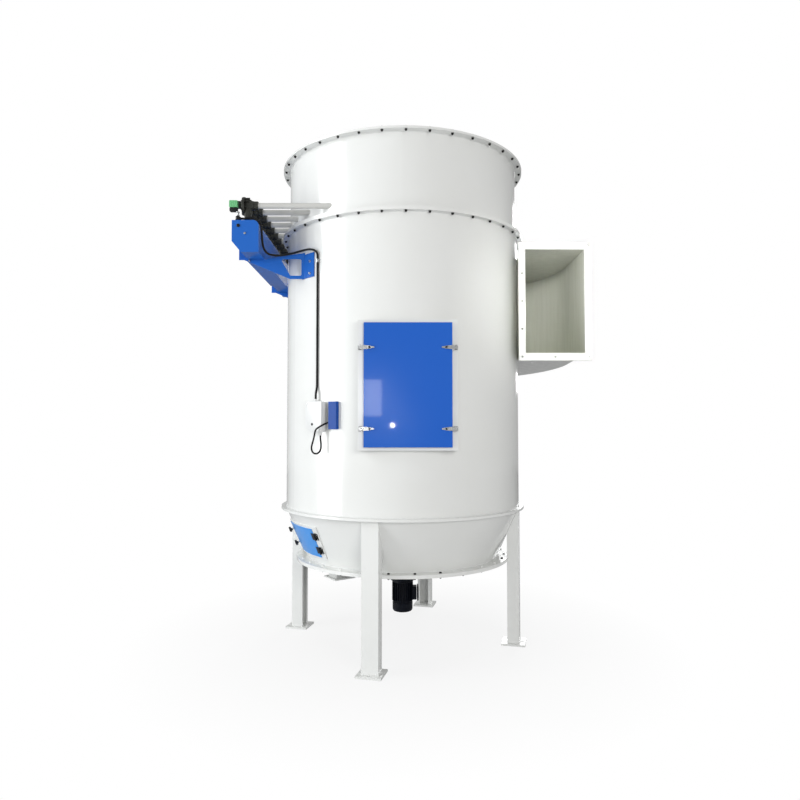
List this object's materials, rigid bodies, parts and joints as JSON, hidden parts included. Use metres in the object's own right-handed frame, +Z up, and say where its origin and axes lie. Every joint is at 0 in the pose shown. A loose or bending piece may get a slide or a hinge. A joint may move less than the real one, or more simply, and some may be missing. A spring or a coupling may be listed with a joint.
{
  "type": "round pulse-jet dust collector",
  "caption": "Round pulse-jet dust collector on legs: cylindrical filter body, conical hopper, scroll inlet, blue access door, air header with diaphragm valves and a bottom gear motor.",
  "frame": {"origin": "on the filter's vertical axis, at the underside of the foot plates, the centre of the anchor bolt circle", "axes": "+Z up; -Y towards the side with the access door and the inlet's mouth; +X to the inlet side"},
  "size_m": [2.1655, 1.729, 3.187],
  "materials": {
    "black_plastic": "moulded black plastic",
    "box_white": "light grey moulded plastic",
    "cable_black": "rubber cable sheath",
    "console_blue": "gloss blue enamel",
    "door_blue": "satin blue enamel",
    "gasket_rubber": "sponge rubber",
    "green_plastic": "green moulded plastic",
    "hatch_blue": "gloss light blue enamel",
    "motor_navy": "dark navy enamel on castings",
    "valve_black": "dark anodised die casting",
    "white_paint": "gloss white enamel",
    "zinc": "zinc plated steel"
  },
  "bodies": {
    "filter": {"access_door": "door_blue", "air_outlet": "white_paint", "blow_pipes": "white_paint", "body_base_ring": "white_paint", "body_front": "white_paint", "body_left": "white_paint", "body_rear": "white_paint", "body_right": "white_paint", "body_top_flange": "white_paint", "bottom_plate": "white_paint", "box_glands": "box_white", "chamber_base_flange": "white_paint", "chamber_left": "white_paint", "chamber_right": "white_paint", "chamber_top_flange": "white_paint", "console_arms": "console_blue", "console_shelf": "console_blue", "control_box": "box_white", "control_lead": "cable_black", "control_rail": "console_blue", "door_frame": "white_paint", "door_gasket": "gasket_rubber", "dust_spout": "white_paint", "foot_plates": "white_paint", "gearbox": "motor_navy", "hatch_frame": "white_paint", "hatch_hinge_bases": "black_plastic", "header_gland": "black_plastic", "header_lead": "cable_black", "header_tank": "console_blue", "hopper_foot_ring": "white_paint", "hopper_left": "white_paint", "hopper_right": "white_paint", "inlet_cheek": "white_paint", "inlet_flange": "white_paint", "latch_bases": "zinc", "latch_levers": "zinc", "lead_clip": "zinc", "legs": "white_paint", "motor": "motor_navy", "roof": "white_paint", "scroll_floor": "white_paint", "scroll_roof": "white_paint", "scroll_wall": "white_paint", "supply_cap": "green_plastic", "supply_elbow": "zinc", "terminal_box": "motor_navy", "tube_sheet": "white_paint", "valves": "valve_black"},
    "hatch": {"hatch_hinge_flaps": "black_plastic", "hatch_knobs": "black_plastic", "hatch_lid": "hatch_blue"}
  },
  "joints": [
    {"name": "hatch_hinge", "type": "hinge", "parent": "filter", "child": "hatch", "pos_m": [-0.50724, -0.49253, 0.68374], "axis": [-0.2937, -0.2852, 0.9124], "range_deg": [0, 110]}
  ]
}
